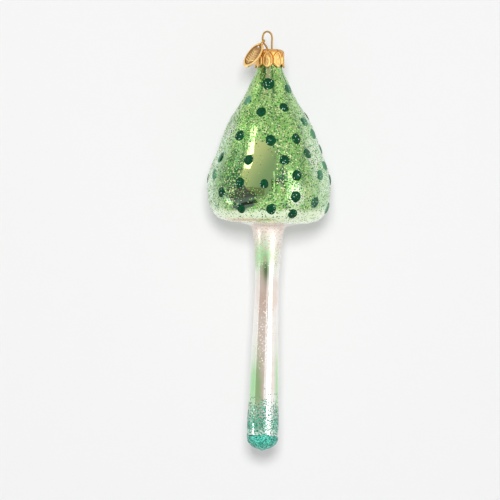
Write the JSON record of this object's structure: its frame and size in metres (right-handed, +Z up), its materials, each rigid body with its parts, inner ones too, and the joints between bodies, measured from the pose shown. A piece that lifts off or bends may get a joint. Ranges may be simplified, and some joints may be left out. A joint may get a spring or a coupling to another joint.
{
  "type": "mushroom ornament",
  "caption": "Hanging glass mushroom: fluted green head with raised enamel dots, long pearly stem with a dipped foot, petalled gold cap, wire loop, jump ring and oval tag.",
  "frame": {"origin": "the hang point, inside the top of the wire loop", "axes": "+Z up the hanging ornament, the front faces -Y, +X is the viewer's right"},
  "size_m": [0.0537, 0.0538, 0.1808],
  "materials": {
    "spring_wire": "drawn spring wire with a warm brass plating",
    "gold_cap": "thin stamped metal, bright orange gold plating",
    "gold_ring": "bright gold plated wire",
    "gold_tag": "stamped metal, pale gold plating with darker hollows",
    "silvered_glass": "blown glass silvered inside, green lacquer with fine glitter on the head, pearl lacquer on the stem",
    "teal_coat": "teal lacquer with coarse glitter",
    "emerald_enamel": "glossy raised enamel drops with fine glitter in them"
  },
  "bodies": {
    "hanger": {"wire_hanger": "spring_wire", "crown_cap": "gold_cap"},
    "mushroom": {"glass_body": "silvered_glass", "foot_dip_coat": "teal_coat", "enamel_drop_01": "emerald_enamel", "enamel_drop_02": "emerald_enamel", "enamel_drop_03": "emerald_enamel", "enamel_drop_04": "emerald_enamel", "enamel_drop_05": "emerald_enamel", "enamel_drop_06": "emerald_enamel", "enamel_drop_07": "emerald_enamel", "enamel_drop_08": "emerald_enamel", "enamel_drop_09": "emerald_enamel", "enamel_drop_10": "emerald_enamel", "enamel_drop_11": "emerald_enamel", "enamel_drop_12": "emerald_enamel", "enamel_drop_13": "emerald_enamel", "enamel_drop_14": "emerald_enamel", "enamel_drop_15": "emerald_enamel", "enamel_drop_16": "emerald_enamel", "enamel_drop_17": "emerald_enamel", "enamel_drop_18": "emerald_enamel", "enamel_drop_19": "emerald_enamel", "enamel_drop_20": "emerald_enamel", "enamel_drop_21": "emerald_enamel", "enamel_drop_22": "emerald_enamel", "enamel_drop_23": "emerald_enamel", "enamel_drop_24": "emerald_enamel", "enamel_drop_25": "emerald_enamel", "enamel_drop_26": "emerald_enamel", "enamel_drop_27": "emerald_enamel", "enamel_drop_28": "emerald_enamel", "enamel_drop_29": "emerald_enamel", "enamel_drop_30": "emerald_enamel", "enamel_drop_31": "emerald_enamel", "enamel_drop_32": "emerald_enamel", "enamel_drop_33": "emerald_enamel", "enamel_drop_34": "emerald_enamel", "enamel_drop_35": "emerald_enamel", "enamel_drop_36": "emerald_enamel", "enamel_drop_37": "emerald_enamel", "enamel_drop_38": "emerald_enamel", "enamel_drop_39": "emerald_enamel", "enamel_drop_40": "emerald_enamel", "enamel_drop_41": "emerald_enamel", "enamel_drop_42": "emerald_enamel", "enamel_drop_43": "emerald_enamel", "enamel_drop_44": "emerald_enamel", "enamel_drop_45": "emerald_enamel", "enamel_drop_46": "emerald_enamel", "enamel_drop_47": "emerald_enamel", "enamel_drop_48": "emerald_enamel", "enamel_drop_49": "emerald_enamel", "enamel_drop_50": "emerald_enamel", "enamel_drop_51": "emerald_enamel"},
    "ring": {"jump_ring": "gold_ring"},
    "tag": {"hang_tag": "gold_tag"}
  },
  "joints": [
    {"name": "neck_draw_off", "type": "slide", "parent": "hanger", "child": "mushroom", "axis": [0, 0, -1], "range_m": [0, 0.028]},
    {"name": "ring_swing", "type": "hinge", "parent": "hanger", "child": "ring", "pos_m": [-0.00126, -0.00074, -0.00363], "axis": [-0.1923, 0.8495, -0.4912], "range_deg": [0, 40]},
    {"name": "tag_swing", "type": "hinge", "parent": "ring", "child": "tag", "pos_m": [-0.00338, -0.00244, -0.00573], "axis": [-0.1923, 0.8495, -0.4912], "range_deg": [0, 80]}
  ]
}
